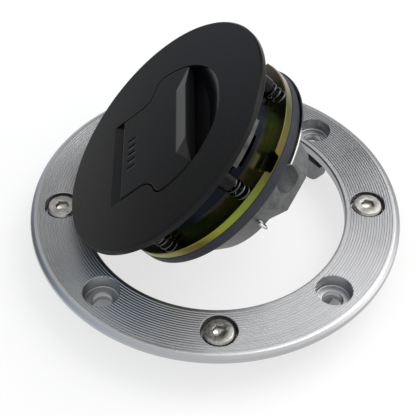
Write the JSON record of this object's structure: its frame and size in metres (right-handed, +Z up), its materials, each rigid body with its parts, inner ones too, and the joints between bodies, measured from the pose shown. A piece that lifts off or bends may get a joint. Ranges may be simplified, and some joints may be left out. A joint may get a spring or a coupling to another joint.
{
  "type": "fuel filler cap",
  "caption": "Hinged round fuel filler cap with a key cover, latch bolts and a floating seal, on a bolt-down bezel ring.",
  "frame": {"origin": "centre of the tank bolt circle, on the seat plane under the ring", "axes": "+Z up along the ring's axis, -X towards the hinge, the cap opens about -Y"},
  "size_m": [0.1156, 0.1156, 0.0722],
  "materials": {
    "ring_metal": "brushed",
    "cast_metal": "as cast",
    "screw_steel": "satin",
    "black_paint": "satin",
    "gloss_black": "gloss",
    "yellow_zinc": "yellow zinc plated",
    "seal_rubber": "matt",
    "bright_steel": "bright",
    "lock_brass": "nickel plated",
    "black_plastic": "matt",
    "spring_steel": "drawn wire"
  },
  "bodies": {
    "ring": {"bezel_ring": "ring_metal", "base_ring": "cast_metal", "ring_screws": "screw_steel", "hinge_pins": "bright_steel"},
    "cap": {"lid": "black_paint", "hinge_arm": "bright_steel", "arm_screws": "screw_steel", "latch_body": "gloss_black", "body_screws": "screw_steel", "lock_collar": "bright_steel", "latch_cover": "yellow_zinc", "base_casting": "cast_metal", "base_screws": "screw_steel", "bottom_cover": "cast_metal", "vent_body": "black_plastic", "vent_ball": "bright_steel", "vent_spring": "spring_steel", "cover_pin": "bright_steel", "cover_leaf": "bright_steel", "tether_eye": "bright_steel"},
    "flap": {"key_cover": "black_paint"},
    "lock": {"lock_cylinder": "lock_brass", "lock_cam": "yellow_zinc", "cam_clip": "bright_steel"},
    "bolt_left": {"latch_bolt_left": "bright_steel"},
    "bolt_right": {"latch_bolt_right": "bright_steel"},
    "carrier": {"inner_drum": "gloss_black", "seal_plate": "yellow_zinc", "main_seal": "seal_rubber", "seal_retainer": "bright_steel", "lift_springs": "spring_steel"}
  },
  "joints": [
    {"name": "lid_hinge", "type": "hinge", "parent": "ring", "child": "cap", "pos_m": [-0.0466, 0, 0.0028], "axis": [0, -1, 0], "range_deg": [-44, 36]},
    {"name": "cover_hinge", "type": "hinge", "parent": "cap", "child": "flap", "pos_m": [-0.02664, 0, 0.02777], "axis": [0, -1, 0], "range_deg": [0, 95]},
    {"name": "lock_turn", "type": "hinge", "parent": "cap", "child": "lock", "pos_m": [-0.01322, 0, 0.03531], "axis": [-0.6947, 0, 0.7193], "range_deg": [0, 90]},
    {"name": "bolt_left_slide", "type": "slide", "parent": "cap", "child": "bolt_left", "axis": [0.5782, 0.5948, 0.5584], "range_m": [0, 0.0061]},
    {"name": "bolt_right_slide", "type": "slide", "parent": "cap", "child": "bolt_right", "axis": [0.5782, -0.5948, 0.5584], "range_m": [0, 0.0061]},
    {"name": "carrier_slide", "type": "slide", "parent": "cap", "child": "carrier", "axis": [-0.6947, 0, 0.7193], "range_m": [0, 0.0015], "stiffness_N_per_m": 2000, "deforming": ["lift_springs"]}
  ],
  "couplings": [
    {"joint": "bolt_left_slide", "follows": "lock_turn", "m_per_rad": 0.0038834},
    {"joint": "bolt_right_slide", "follows": "lock_turn", "m_per_rad": 0.0038834}
  ]
}
